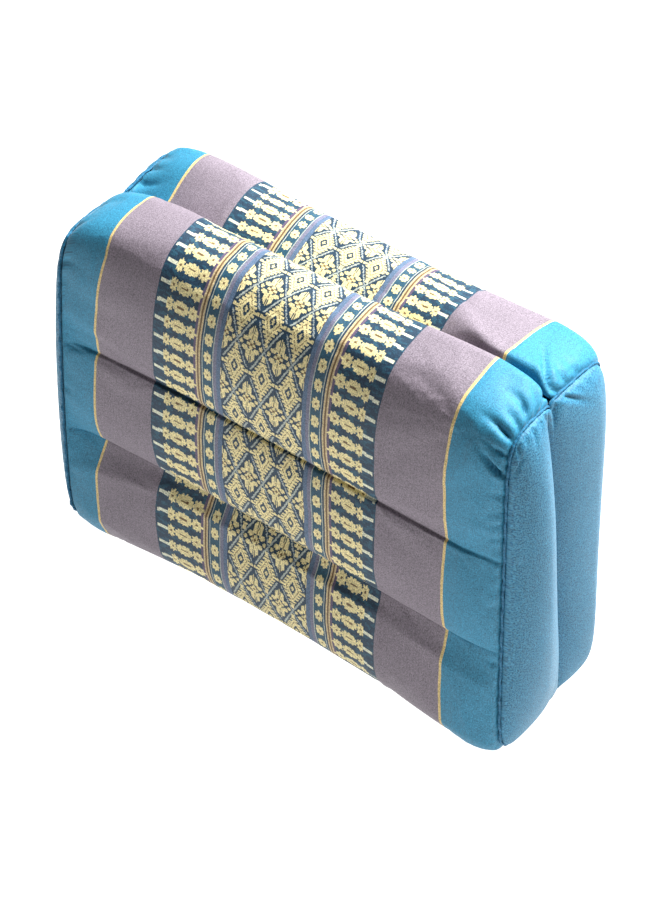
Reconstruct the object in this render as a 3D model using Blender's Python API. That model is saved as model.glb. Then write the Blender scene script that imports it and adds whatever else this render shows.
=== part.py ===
"""Meditation block cushion of six sewn channels, two deep and three high, standing on a long narrow side.

Metres, +Z up. The length runs along X, the face with its two channel seams looks to -Y, and the
origin is on the floor under the middle.
"""

import math
from collections import namedtuple

import bmesh
import bpy
from mathutils import Vector

# Driving sizes. The seam heights are measured from the foot of the end panels.
SEAM_LENGTH = 0.331
END_DEPTH = 0.107
END_HEIGHT = 0.2565
LOWER_SEAM = 0.092
UPPER_SEAM = 0.170

# How far the stuffed wrap stands proud of the end seams, and how far its foot arches up in the middle
FACE_SWELL = 0.006
TOP_SWELL = 0.016
FOOT_SWELL = 0.0135
FOOT_ARCH = 0.0115
FOOT_REACH = 0.030

# Depth of the channel seams on the face in the middle of the length, and the share of a channel's own
# height over which its cloth runs down into one
LOWER_GROOVE = 0.0125
UPPER_GROOVE = 0.0075
GROOVE_START = 0.020
FACE_RUN = 0.55
MIDDLE_RUN = 0.5

# The seam at the ridge: round shoulders, with a narrow slit between them where the channels touch, and
# only a notch at the very ends
RIDGE_SHOULDER = 0.011
RIDGE_REACH = 0.014
RIDGE_SLIT = 0.014
SLIT_REACH = 0.0045
RIDGE_NOTCH = 0.004
NOTCH_REACH = 0.010
POCKET_REACH = 0.016

# Towards the right end the front top channel leans over the back one, and swells up a little
RIDGE_LEAN = 0.012
RIDGE_HUMP = 0.004
LEAN_FROM = 0.060
LEAN_FULL = 0.135

# How square the section is: 2 is an ellipse, and more is squarer
MIDDLE_POWER = 4.6
END_POWER = 7.4

# The ends differ. Distance over which the wrap swells to its full size at its sides and over its top,
# how full that swell is, how far the end's outline is drawn in at the sides and at the top, and the
# depth of the face grooves there
End = namedtuple("End", "side_reach top_reach top_fullness side_draw top_draw lower_groove upper_groove")
LEFT_END = End(0.080, 0.080, 2.0, -0.004, 0.006, 0.010, 0.005)
RIGHT_END = End(0.028, 0.036, 1.6, 0.004, -0.0055, 0.006, 0.004)

# How far each corner of an end is out of true along x, y and z
Corners = namedtuple("Corners", "front_low front_high back_low back_high")
LEFT_CORNERS = Corners(
    Vector((-0.0081, -0.0012, 0.0008)),
    Vector((0.0031, 0.0026, 0.0002)),
    Vector((0.0, 0.0, 0.0)),
    Vector((0.0004, 0.0014, 0.0009)),
)
RIGHT_CORNERS = Corners(
    Vector((0.0046, 0.0012, -0.0004)),
    Vector((-0.0009, 0.0003, 0.0011)),
    Vector((-0.0009, 0.0019, 0.0021)),
    Vector((-0.0033, -0.0041, -0.0014)),
)

# How far an end's front and back edges bow along y, its middle along x, and its top along z
Bow = namedtuple("Bow", "front back middle top")
LEFT_BOW = Bow(-0.0061, -0.0002, 0.0020, -0.0015)
RIGHT_BOW = Bow(0.0010, -0.0019, -0.0010, 0.0029)

# How far in from an end it is out of true, the depth and height that its corners are taken at, and the
# share of those by which the shifts may run on past a corner
UNEVEN_REACH = 0.110
UNEVEN_DEPTH = 0.110
UNEVEN_HEIGHT = 0.262
RUN_ON = 0.2

# End panels and their raised seams. Each panel has two upright bulges: how sharply they fall into the
# crease between them, and how square and how blunt they are at their top and bottom
PANEL_THICKNESS = 0.002
PANEL_BULGE = 0.010
CREASE_POWER = 2.6
BULGE_SQUARENESS = 3.5
BULGE_SHOULDER = 1 / 1.8
PANEL_INSET = 0.0017
SEAM_RADIUS = 0.0011
SEAM_OUT = 0.0011
SEAM_PROUD = 0.0015
GAP = 0.0009

# The surface the block stands on is this far below the end panels' foot, and the middle of the block's
# own box is here before the block is moved over the origin
FLOOR_DROP = 0.0042
MIDDLE = Vector((-0.0008, -0.0023, 0.0))

# Mesh steps: along the block, up each face row, and over each half of the top
LENGTH_STEPS = 30
ROW_STEPS = 8
TOP_STEPS = 8
SEAM_SIDES = 6
FINE_STEPS = 60
CROWDING = 0.6

# Linear colours of the cloths, and how matt they are
CLOTHS = {
    "wrap_cloth": (0.27, 0.22, 0.27, 1.0),
    "end_cloth": (0.05, 0.30, 0.45, 1.0),
    "seam_cloth": (0.04, 0.22, 0.33, 1.0),
}
CLOTH_ROUGHNESS = 0.85


def clamped(value, low=0.0, high=1.0):
    return min(max(value, low), high)


def dome(share, fullness=2.0):
    """Rises from 0 to 1 as the side of a stuffed tube does: steep at its seam, level at its crown."""
    return (1.0 - (1.0 - clamped(share)) ** fullness) ** (1 / fullness)


def dip(distance, reach):
    """Share of a sewn seam's depth at a distance from it."""
    return 1.0 - dome(distance / reach)


def crowded(steps):
    """Shares from 0 to 1 that lie closer together towards both ends."""
    shares = [step / steps for step in range(steps + 1)]
    return [share - CROWDING * math.sin(2 * math.pi * share) / (2 * math.pi) for share in shares]


def path_lengths(points):
    lengths = [0.0]
    for start, end in zip(points, points[1:]):
        lengths.append(lengths[-1] + math.dist(start, end))
    return lengths


def resampled(points, steps):
    """The same line with a set number of steps, crowded towards its ends."""
    lengths = path_lengths(points)
    found = []
    index = 0
    for share in crowded(steps):
        target = share * lengths[-1]
        while index < len(points) - 2 and lengths[index + 1] < target:
            index += 1
        span = lengths[index + 1] - lengths[index]
        part = clamped((target - lengths[index]) / span)
        start, end = points[index], points[index + 1]
        found.append(tuple(a + (b - a) * part for a, b in zip(start, end)))
    return found


def quarter(power, width, height):
    """Quarter of a rounded rectangle about the origin, from its side (width, 0) to its top (0, height)."""
    points = [(width, 0.0)]
    for step in range(1, FINE_STEPS):
        angle = 0.5 * math.pi * step / FINE_STEPS
        across = width * math.cos(angle) ** (2 / power)
        points.append((across, height * math.sin(angle) ** (2 / power)))
    points.append((0.0, height))
    return points


def front_half(x):
    """Section points (y, z) at x, from the bottom seam up the face to the top seam."""
    end = LEFT_END if x < 0 else RIGHT_END
    from_end = 0.5 * SEAM_LENGTH - abs(x)
    side_swell = dome(from_end / end.side_reach)
    top_swell = dome(from_end / end.top_reach, end.top_fullness)
    foot_swell = dome(from_end / FOOT_REACH)
    along = 2 * abs(x) / SEAM_LENGTH
    middle = 1.0 - along**3
    power = END_POWER + (MIDDLE_POWER - END_POWER) * middle
    half_depth = 0.5 * END_DEPTH + FACE_SWELL * side_swell - end.side_draw * (1 - side_swell)
    top = END_HEIGHT + TOP_SWELL * top_swell - end.top_draw * (1 - top_swell)
    foot = FOOT_ARCH * middle - FOOT_SWELL * foot_swell
    sewn = dome(from_end / GROOVE_START)
    lower_depth = sewn * (end.lower_groove + (LOWER_GROOVE - end.lower_groove) * (1 - along**2))
    upper_depth = sewn * (end.upper_groove + (UPPER_GROOVE - end.upper_groove) * (1 - along**2))

    pocket = dome(from_end / POCKET_REACH)
    shoulder = RIDGE_NOTCH + (RIDGE_SHOULDER - RIDGE_NOTCH) * pocket
    shoulder_reach = RIDGE_REACH + NOTCH_REACH * (1 - pocket)

    def pulled(points, face_depth):
        """Draws a corner channel in at its face seam, its first point, and at the ridge, its last."""
        inward = math.copysign(1.0, points[0][1] - points[-1][1])
        face_reach = FACE_RUN * abs(points[-1][1] - points[0][1])
        lengths = path_lengths(points)
        drawn = []
        for (y, z), length in zip(points, lengths):
            to_ridge = lengths[-1] - length
            y += face_depth * dip(length, face_reach)
            z += inward * shoulder * dip(to_ridge, shoulder_reach)
            z += inward * RIDGE_SLIT * pocket * dip(to_ridge, SLIT_REACH)
            drawn.append((y, z))
        return drawn

    low = [(-y, LOWER_SEAM + z) for y, z in quarter(power, half_depth, foot - LOWER_SEAM)]
    low = pulled(low, lower_depth)
    high = [(-y, UPPER_SEAM + z) for y, z in quarter(power, half_depth, top - UPPER_SEAM)]
    high = pulled(high, upper_depth)

    row = UPPER_SEAM - LOWER_SEAM
    face = []
    for step in range(FINE_STEPS + 1):
        rise = row * step / FINE_STEPS
        y = -half_depth + lower_depth * dip(rise, MIDDLE_RUN * row)
        y += upper_depth * dip(row - rise, MIDDLE_RUN * row)
        face.append((y, LOWER_SEAM + rise))

    low_corner = corner_index(low)
    high_corner = corner_index(high)
    low.reverse()
    pieces = [
        resampled(low[: len(low) - low_corner], TOP_STEPS),
        resampled(low[len(low) - low_corner - 1 :], ROW_STEPS),
        resampled(face, ROW_STEPS),
        resampled(high[: high_corner + 1], ROW_STEPS),
        resampled(high[high_corner:], TOP_STEPS),
    ]
    points = [pieces[0][0]]
    for piece in pieces:
        points += piece[1:]
    return points


def corner_index(points):
    """The point of a corner channel that reaches furthest out along the diagonal."""
    first, last = points[0], points[-1]
    width = abs(last[0] - first[0])
    height = abs(last[1] - first[1])
    return max(
        range(len(points)),
        key=lambda i: abs(points[i][0] - last[0]) / width + abs(points[i][1] - first[1]) / height,
    )


def section(x):
    """Closed ring of points at x: up the front from the bottom seam, and down the back."""
    front = [(y, z + FLOOR_DROP) for y, z in front_half(x)]
    back = [(-y, z) for y, z in reversed(front)]
    ring = []
    for y, z in front[:-1] + back[:-1]:
        point = uneven(leant(Vector((x, y, z))))
        point.z = max(point.z, 0.0)
        ring.append(point - MIDDLE)
    return ring


def leant(point):
    """The point moved back and up where the front top channel leans over the back one."""
    rise = clamped((point.x - LEAN_FROM) / (LEAN_FULL - LEAN_FROM))
    share = rise * rise * (3 - 2 * rise) * dome((0.5 * SEAM_LENGTH - point.x) / POCKET_REACH)
    share *= clamped(1 - abs(point.y) / (0.5 * END_DEPTH))
    share *= clamped((point.z - UPPER_SEAM) / (END_HEIGHT - UPPER_SEAM))
    return point + Vector((0, RIDGE_LEAN * share, RIDGE_HUMP * share))


def uneven(point):
    """The point moved as far as its end of the block is out of true there, most at the end itself."""
    back = clamped(point.y / UNEVEN_DEPTH + 0.5, -RUN_ON, 1 + RUN_ON)
    high = clamped(point.z / UNEVEN_HEIGHT, -RUN_ON, 1 + RUN_ON)
    shares = ((1 - back) * (1 - high), (1 - back) * high, back * (1 - high), back * high)
    belt = 4 * high * (1 - high)
    moved = point.copy()
    for side, corners, bow in ((-1, LEFT_CORNERS, LEFT_BOW), (1, RIGHT_CORNERS, RIGHT_BOW)):
        near = clamped(1 - (0.5 * SEAM_LENGTH - side * point.x) / UNEVEN_REACH) ** 2
        for share, corner in zip(shares, corners):
            moved += near * share * corner
        moved.x += near * belt * bow.middle
        moved.y += near * belt * ((1 - back) * bow.front + back * bow.back)
        moved.z += near * high * 4 * back * (1 - back) * bow.top
    return moved


def ring_stations():
    """Places along the length, closer together towards the ends."""
    half = 0.5 * SEAM_LENGTH
    angles = [math.pi * step / LENGTH_STEPS for step in range(LENGTH_STEPS + 1)]
    return [-half * math.cos(angle) for angle in angles]


def end_grid(side):
    """Grid of points over an end, across in columns and up in rows, its border on the section ring."""
    ring = section(0.5 * side * SEAM_LENGTH)
    count = len(ring)
    columns = 2 * TOP_STEPS
    rows = 3 * ROW_STEPS
    front = [ring[TOP_STEPS + j] for j in range(rows + 1)]
    top = [ring[TOP_STEPS + rows + i] for i in range(columns + 1)]
    back = [ring[TOP_STEPS + rows + columns + rows - j] for j in range(rows + 1)]
    bottom = [ring[(TOP_STEPS - i) % count] for i in range(columns + 1)]
    across = [(point.y - top[0].y) / (top[-1].y - top[0].y) for point in top]
    up = [(point.z - front[0].z) / (front[-1].z - front[0].z) for point in front]
    grid = []
    for i, u in enumerate(across):
        column = []
        for j, v in enumerate(up):
            sides = front[j] * (1 - u) + back[j] * u
            ends = bottom[i] * (1 - v) + top[i] * v
            low = front[0] * (1 - u) + back[0] * u
            high = front[-1] * (1 - u) + back[-1] * u
            point = sides + ends - low * (1 - v) - high * v
            point.x += side * PANEL_BULGE * bulges(u, v)
            column.append(point)
        grid.append(column)
    return grid


def bulges(u, v):
    """Height of the two upright bulges of an end, from 0 at its border and in the middle crease to 1."""
    share = 2 * min(u, 1 - u)
    rise = dome(2 * share)
    fall = (1 - clamped(2 * share - 1) ** CREASE_POWER) ** (1 / CREASE_POWER)
    up = clamped(abs(2 * v - 1))
    return rise * fall * (1 - up**BULGE_SQUARENESS) ** BULGE_SHOULDER


def new_object(name, mesh_data, cloth):
    mesh = bpy.data.meshes.new(name)
    bmesh.ops.recalc_face_normals(mesh_data, faces=mesh_data.faces)
    mesh_data.to_mesh(mesh)
    mesh_data.free()
    mesh.materials.append(cloth)
    mesh.shade_smooth()
    made = bpy.data.objects.new(name, mesh)
    bpy.context.scene.collection.objects.link(made)
    return made


def add_grid(mesh_data, grid, known=None):
    """Adds a grid of points as quads. known gives a vertex that is already there for a point's place."""
    known = known or {}
    made = []
    for i, column in enumerate(grid):
        verts = [known.get((i, j)) or mesh_data.verts.new(point) for j, point in enumerate(column)]
        made.append(verts)
    for left, right in zip(made, made[1:]):
        for j in range(len(left) - 1):
            mesh_data.faces.new((left[j], right[j], right[j + 1], left[j + 1]))
    return made


def border_places(columns, rows):
    """Places (column, row) round a grid's border, in the order of a section ring."""
    middle = columns // 2
    places = [(i, 0) for i in range(middle, 0, -1)]
    places += [(0, j) for j in range(rows)]
    places += [(i, rows) for i in range(columns)]
    places += [(columns, j) for j in range(rows, 0, -1)]
    places += [(i, 0) for i in range(columns, middle, -1)]
    return places


def make_cushion_body(cloth):
    """The wrap with its filling: rings along the length, closed by the bulging ends."""
    mesh_data = bmesh.new()
    rings = []
    for x in ring_stations():
        rings.append([mesh_data.verts.new(point) for point in section(x)])
    for one, other in zip(rings, rings[1:]):
        for k in range(len(one)):
            after = (k + 1) % len(one)
            mesh_data.faces.new((one[k], other[k], other[after], one[after]))
    for side, ring in ((-1, rings[0]), (1, rings[-1])):
        grid = end_grid(side)
        places = border_places(len(grid) - 1, len(grid[0]) - 1)
        add_grid(mesh_data, grid, dict(zip(places, ring)))
    return new_object("cushion_body", mesh_data, cloth)


def make_end_panel(name, side, cloth):
    """Thin cloth over an end, just off the body and just inside the raised seam."""
    grid = end_grid(side)
    columns, rows = len(grid) - 1, len(grid[0]) - 1
    places = border_places(columns, rows)
    inset = {}
    for i, j in places:
        inner = grid[min(max(i, 1), columns - 1)][min(max(j, 1), rows - 1)]
        step = inner - grid[i][j]
        inset[i, j] = grid[i][j] + step * (PANEL_INSET / step.length)
    for (i, j), point in inset.items():
        grid[i][j] = point
    mesh_data = bmesh.new()
    sheets = []
    for height in (GAP, GAP + PANEL_THICKNESS):
        lift = Vector((side * height, 0, 0))
        sheets.append(add_grid(mesh_data, [[point + lift for point in column] for column in grid]))
    inner, outer = sheets
    for (i, j), (m, n) in zip(places, places[1:] + places[:1]):
        mesh_data.faces.new((inner[i][j], inner[m][n], outer[m][n], outer[i][j]))
    return new_object(name, mesh_data, cloth)


def make_edge_seam(name, side, cloth):
    """Raised seam all round an end, a thin roll just outside the corner of wrap and panel."""
    ring = section(0.5 * side * SEAM_LENGTH)
    along_x = Vector((side, 0, 0))
    mesh_data = bmesh.new()
    loops = []
    for k, point in enumerate(ring):
        forward = ring[(k + 1) % len(ring)] - ring[k - 1]
        outward = Vector((0, -forward.z, forward.y)).normalized()
        centre = point + outward * SEAM_OUT + along_x * SEAM_PROUD
        loop = []
        for corner in range(SEAM_SIDES):
            angle = 2 * math.pi * corner / SEAM_SIDES
            spoke = outward * math.cos(angle) + along_x * math.sin(angle)
            loop.append(mesh_data.verts.new(centre + spoke * SEAM_RADIUS))
        loops.append(loop)
    for one, other in zip(loops, loops[1:] + loops[:1]):
        for corner in range(SEAM_SIDES):
            after = (corner + 1) % SEAM_SIDES
            mesh_data.faces.new((one[corner], other[corner], other[after], one[after]))
    return new_object(name, mesh_data, cloth)


def make_cloths():
    cloths = {}
    for name, colour in CLOTHS.items():
        cloth = bpy.data.materials.new(name)
        cloth.use_nodes = True
        shader = cloth.node_tree.nodes["Principled BSDF"]
        shader.inputs["Base Color"].default_value = colour
        shader.inputs["Roughness"].default_value = CLOTH_ROUGHNESS
        shader.inputs["Metallic"].default_value = 0.0
        cloth.diffuse_color = colour
        cloths[name] = cloth
    return cloths


def main():
    for old in list(bpy.data.objects):
        bpy.data.objects.remove(old)
    cloths = make_cloths()
    make_cushion_body(cloths["wrap_cloth"])
    for name, side in (("left", -1), ("right", 1)):
        make_end_panel(f"end_panel_{name}", side, cloths["end_cloth"])
        make_edge_seam(f"edge_seam_{name}", side, cloths["seam_cloth"])


main()
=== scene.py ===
"""Looks of the meditation block cushion: patterned wrap, plain end panels, raised edge seams, studio.

Metres in the geometry. The cloth's own coordinates, which the materials read, are in millimetres: u runs
along the block from the middle of the pattern, and v runs round it.
"""

import math
from collections import namedtuple

import bmesh
import bpy
import numpy as np
from mathutils import Euler, Matrix, Vector


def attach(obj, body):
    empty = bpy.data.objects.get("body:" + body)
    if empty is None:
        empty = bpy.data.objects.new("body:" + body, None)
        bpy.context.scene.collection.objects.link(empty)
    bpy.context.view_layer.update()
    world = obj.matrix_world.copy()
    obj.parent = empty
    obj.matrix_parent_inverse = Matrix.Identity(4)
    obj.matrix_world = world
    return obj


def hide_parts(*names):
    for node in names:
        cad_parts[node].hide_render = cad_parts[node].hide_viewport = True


# Driving sizes, as in the part's source. The seam heights are measured from the foot of the end panels.
SEAM_LENGTH = 0.331
END_DEPTH = 0.107
END_HEIGHT = 0.2565
LOWER_SEAM = 0.092
UPPER_SEAM = 0.170

# How far the stuffed wrap stands proud of the end seams, and how far its foot arches up in the middle
FACE_SWELL = 0.006
TOP_SWELL = 0.016
FOOT_SWELL = 0.0135
FOOT_ARCH = 0.0115
FOOT_REACH = 0.030

# Depth of the channel seams on the face in the middle of the length, and the share of a channel's own
# height over which its cloth runs down into one
LOWER_GROOVE = 0.0125
UPPER_GROOVE = 0.0075
GROOVE_START = 0.020
FACE_RUN = 0.55
MIDDLE_RUN = 0.5

# The seam at the ridge: round shoulders, tighter to the right, with a narrow slit between them, and only
# a notch at the very ends
RIDGE_SHOULDER = 0.011
RIDGE_REACH = 0.014
RIDGE_TIGHTER = 0.005
RIDGE_SLIT = 0.014
SLIT_REACH = 0.0045
RIDGE_NOTCH = 0.004
NOTCH_REACH = 0.010
POCKET_REACH = 0.016

# Towards the right end the ridge closes, leans forward and rises a little, and its notch is pulled aside
RIDGE_LEAN = -0.004
RIDGE_HUMP = 0.007
LEAN_FROM = 0.034
LEAN_FULL = 0.130
NOTCH_ASIDE = -0.0085

# The back top channel slopes down to the ridge over this reach, less where the ridge has closed, and its
# crest is lower than the front one's
BACK_REACH = 0.050
BACK_REACH_AT_END = 0.0035
BACK_FALL = 2.3
BACK_LOWER = 0.0055

# How square the section is, in the middle and at the ends: 2 is an ellipse, and more is squarer
MIDDLE_POWER = 4.6
FRONT_TOP_POWER = 2.9
BACK_TOP_POWER = 6.4
END_POWER = 7.4
BACK_END_POWER = 11.0

# The ends differ. Distance over which the wrap swells to its full size at its sides and over its top,
# how full that swell is, how far the end's outline is drawn in at the sides and at the top, and the
# depth of the face grooves there
End = namedtuple("End", "side_reach top_reach top_fullness side_draw top_draw lower_groove upper_groove")
LEFT_END = End(0.080, 0.080, 2.0, -0.004, 0.006, 0.010, 0.005)
RIGHT_END = End(0.028, 0.036, 1.6, 0.004, -0.0055, 0.006, 0.004)

# The floor is this far below the end panels' foot, and the middle of the block's own box is here before
# the block is moved over the origin
FLOOR_DROP = 0.0042
MIDDLE = (-0.0008, -0.0023, 0.0)

# How far each corner of an end is out of true, in millimetres along x, y and z
Corner = namedtuple("Corner", "x y z")
Corners = namedtuple("Corners", "front_low front_high back_low back_high")
LEFT_CORNERS = Corners(
    Corner(-8.1, -1.2, 0.8),
    Corner(3.1, 2.6, 0.2),
    Corner(0.0, 0.0, 0.0),
    Corner(0.4, 1.4, 0.9),
)
RIGHT_CORNERS = Corners(
    Corner(4.6, 1.2, -0.4),
    Corner(-0.9, 0.3, 1.1),
    Corner(-0.9, 1.9, 2.1),
    Corner(-3.3, -4.1, -1.4),
)

# How far an end's front and back edges bow along y, its middle along x, and its top along z
Bow = namedtuple("Bow", "front back middle top")
LEFT_BOW = Bow(-6.1, -0.2, 2.0, -1.5)
RIGHT_BOW = Bow(1.0, -1.9, -1.0, 2.9)

# How far in from an end it is out of true, the depth and height that its corners are taken at, and the
# share of those by which the shifts may run on past a corner
UNEVEN_REACH = 0.110
UNEVEN_DEPTH = 0.110
UNEVEN_HEIGHT = 0.262
RUN_ON = 0.2

# The end panels: two upright bulges, each with its crown at a share of its width from its outer border,
# and a crease between them that wanders from the middle at its top and its foot
PANEL_THICKNESS = 0.002
PANEL_BULGE = 0.0170
BACK_BULGE = 0.78
LOBE_POWER = 1.8
CREASE_POWER = 1.7
FRONT_CROWN = 0.54
BACK_CROWN = 0.30
BULGE_SQUARENESS = 2.6
BACK_SQUARENESS = 6.0
BULGE_SHOULDER = 1 / 1.8
Crease = namedtuple("Crease", "top foot")
LEFT_CREASE = Crease(0.0, 0.0)
RIGHT_CREASE = Crease(-0.138, 0.125)
CREASE_BEND = 4
GAP = 0.0005

# Mesh steps: along the block, up each face row, and over each half of the top. The ring is read from
# curves of FINE_STEPS and LAST_STEPS, and the crowdings draw steps towards the ends.
LENGTH_STEPS = 88
ROW_STEPS = 26
TOP_STEPS = 26
FINE_STEPS = 120
LAST_STEPS = 12
CROWDING = 0.45
END_CROWDING = 0.65
TINY = 1e-9

# Where the camera stood, and its angles in degrees
CAMERA_PLACE = (0.7227, -0.9106, 1.2388)
CAMERA_AZIMUTH = 38.30
CAMERA_ELEVATION = 43.62
CAMERA_ROLL = -0.32
CAMERA_LENS = 102.7
CAMERA_SENSOR = 36.0
CAMERA_CLIP = 0.05

# The studio: a pale floor that glows a little, a faint sky, and one soft light from above and behind
FLOOR_HALF = 6.0
FLOOR_GREY = 0.30
FLOOR_ROUGHNESS = 0.95
FLOOR_GLOW = 1.2
SKY = 0.02
KEY_PLACE = (0.40, 1.0, 1.88)
KEY_AIM = (0, 0, 0.1)
KEY_SIZE = 0.85
KEY_POWER = 150.0
WHITE = (1.0, 1.0, 1.0, 1.0)


def dome(share, fullness=2.0):
    """Rises from 0 to 1 as the side of a stuffed tube does: steep at its seam, level at its crown."""
    share = min(max(share, 0.0), 1.0)
    return (1.0 - (1.0 - share) ** fullness) ** (1 / fullness)


def smooth(share):
    """Rises from 0 to 1, level at both ends."""
    share = min(max(share, 0.0), 1.0)
    return share * share * (3 - 2 * share)


def dip(distance, reach):
    """Share of a sewn seam's depth at a distance from it."""
    return 1.0 - dome(distance / reach)


def path_lengths(points):
    """Length of the line up to each of its points."""
    return np.r_[0, np.cumsum(np.linalg.norm(np.diff(points, axis=0), axis=1))]


def resampled(points, steps):
    """The same line with a set number of steps, crowded towards its ends."""
    points = np.array(points)
    lengths = path_lengths(points)
    shares = np.arange(steps + 1) / steps
    wanted = lengths[-1] * (shares - CROWDING * np.sin(2 * math.pi * shares) / (2 * math.pi))
    return [(np.interp(w, lengths, points[:, 0]), np.interp(w, lengths, points[:, 1])) for w in wanted]


def quarter(power, width, height):
    """Quarter of a rounded rectangle about the origin, from its side (width, 0) to its top (0, height)."""
    points = [(width, 0.0)]
    for step in range(1, FINE_STEPS):
        angle = 0.5 * math.pi * step / FINE_STEPS
        across = width * math.cos(angle) ** (2 / power)
        points.append((across, height * math.sin(angle) ** (2 / power)))
    last = points[-1][0]
    for step in range(LAST_STEPS - 1, -1, -1):
        across = last * step / LAST_STEPS
        points.append((across, height * (1 - (across / width) ** power) ** (1 / power)))
    return points


def corner_index(points):
    """The point of a corner channel that reaches furthest out along the diagonal."""
    first, last = points[0], points[-1]
    width = abs(last[0] - first[0])
    height = abs(last[1] - first[1])
    return max(
        range(len(points)),
        key=lambda i: abs(points[i][0] - last[0]) / width + abs(points[i][1] - first[1]) / height,
    )


def half_section(x, back):
    """Section points (y, z) at x, from the bottom seam up a face to the top seam. The back half is given
    mirrored, at the front."""
    end = LEFT_END if x < 0 else RIGHT_END
    from_end = 0.5 * SEAM_LENGTH - abs(x)
    side_swell = dome(from_end / end.side_reach)
    top_swell = dome(from_end / end.top_reach, end.top_fullness)
    foot_swell = dome(from_end / FOOT_REACH)
    along = 2 * abs(x) / SEAM_LENGTH
    middle = 1.0 - along**3
    power = END_POWER + (MIDDLE_POWER - END_POWER) * middle
    half_depth = 0.5 * END_DEPTH + FACE_SWELL * side_swell - end.side_draw * (1 - side_swell)
    top = END_HEIGHT + TOP_SWELL * top_swell - end.top_draw * (1 - top_swell)
    foot = FOOT_ARCH * middle - FOOT_SWELL * foot_swell
    sewn = dome(from_end / GROOVE_START)
    lower_depth = sewn * (end.lower_groove + (LOWER_GROOVE - end.lower_groove) * (1 - along**2))
    upper_depth = sewn * (end.upper_groove + (UPPER_GROOVE - end.upper_groove) * (1 - along**2))

    crest = top - (BACK_LOWER * middle if back else 0.0)
    end_power = BACK_END_POWER if back else END_POWER
    top_power = end_power + ((BACK_TOP_POWER if back else FRONT_TOP_POWER) - end_power) * middle
    closed = smooth((x - LEAN_FROM) / (LEAN_FULL - LEAN_FROM))
    back_reach = BACK_REACH + (BACK_REACH_AT_END - BACK_REACH) * closed

    pocket = dome(from_end / POCKET_REACH)
    shoulder = RIDGE_NOTCH + (RIDGE_SHOULDER - RIDGE_NOTCH) * pocket
    shoulder_reach = RIDGE_REACH - RIDGE_TIGHTER * closed + NOTCH_REACH * (1 - pocket)

    def pulled(points, face_depth):
        """Draws a corner channel in at its face seam, its first point, and at the ridge, its last."""
        inward = math.copysign(1.0, points[0][1] - points[-1][1])
        face_reach = FACE_RUN * abs(points[-1][1] - points[0][1])
        lengths = path_lengths(points)
        drawn = []
        for (y, z), length in zip(points, lengths):
            to_ridge = lengths[-1] - length
            y += face_depth * dip(length, face_reach)
            if back and inward < 0:
                depth = shoulder + RIDGE_SLIT * pocket + crest - top
                z -= depth * max(1 - to_ridge / back_reach, 0) ** BACK_FALL
            else:
                z += inward * shoulder * dip(to_ridge, shoulder_reach)
                z += inward * RIDGE_SLIT * pocket * dip(to_ridge, SLIT_REACH)
            drawn.append((y, z))
        return drawn

    low = [(-y, LOWER_SEAM + z) for y, z in quarter(power, half_depth, foot - LOWER_SEAM)]
    low = pulled(low, lower_depth)
    high = [(-y, UPPER_SEAM + z) for y, z in quarter(top_power, half_depth, crest - UPPER_SEAM)]
    high = pulled(high, upper_depth)

    row = UPPER_SEAM - LOWER_SEAM
    face = []
    for step in range(FINE_STEPS + 1):
        rise = row * step / FINE_STEPS
        y = -half_depth + lower_depth * dip(rise, MIDDLE_RUN * row)
        y += upper_depth * dip(row - rise, MIDDLE_RUN * row)
        face.append((y, LOWER_SEAM + rise))

    low_corner = corner_index(low)
    high_corner = corner_index(high)
    low.reverse()
    pieces = [
        resampled(low[: len(low) - low_corner], TOP_STEPS),
        resampled(low[len(low) - low_corner - 1 :], ROW_STEPS),
        resampled(face, ROW_STEPS),
        resampled(high[: high_corner + 1], ROW_STEPS),
        resampled(high[high_corner:], TOP_STEPS),
    ]
    points = [pieces[0][0]]
    for piece in pieces:
        points += piece[1:]
    return points


# Places in a section ring, which runs up the front from the bottom seam and down the back
LOWER_SEAM_AT = TOP_STEPS + ROW_STEPS
UPPER_SEAM_AT = TOP_STEPS + 2 * ROW_STEPS
RIDGE_AT = 2 * TOP_STEPS + 3 * ROW_STEPS
RING = 2 * RIDGE_AT
SEAM_PLACES = (0, LOWER_SEAM_AT, UPPER_SEAM_AT, RIDGE_AT, RING - UPPER_SEAM_AT, RING - LOWER_SEAM_AT)


def section(x):
    """Closed ring of points at x, as an array."""
    front = [(y, z + FLOOR_DROP) for y, z in half_section(x, False)]
    back = [(-y, z + FLOOR_DROP) for y, z in reversed(half_section(x, True))]
    ring = np.array([(x, y, z) for y, z in front[:-1] + back[:-1]])
    near_ridge = np.clip(1 - np.abs(ring[:, 1]) / (0.5 * END_DEPTH), 0, 1)
    near_ridge *= np.clip((ring[:, 2] - UPPER_SEAM) / (END_HEIGHT - UPPER_SEAM), 0, 1)
    aside, up = over_lean(x)
    ring[:, 1] += aside * near_ridge
    ring[:, 2] += up * near_ridge
    ring = uneven(ring)
    ring[:, 2] = np.maximum(ring[:, 2], 0.0)
    return ring - MIDDLE


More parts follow.
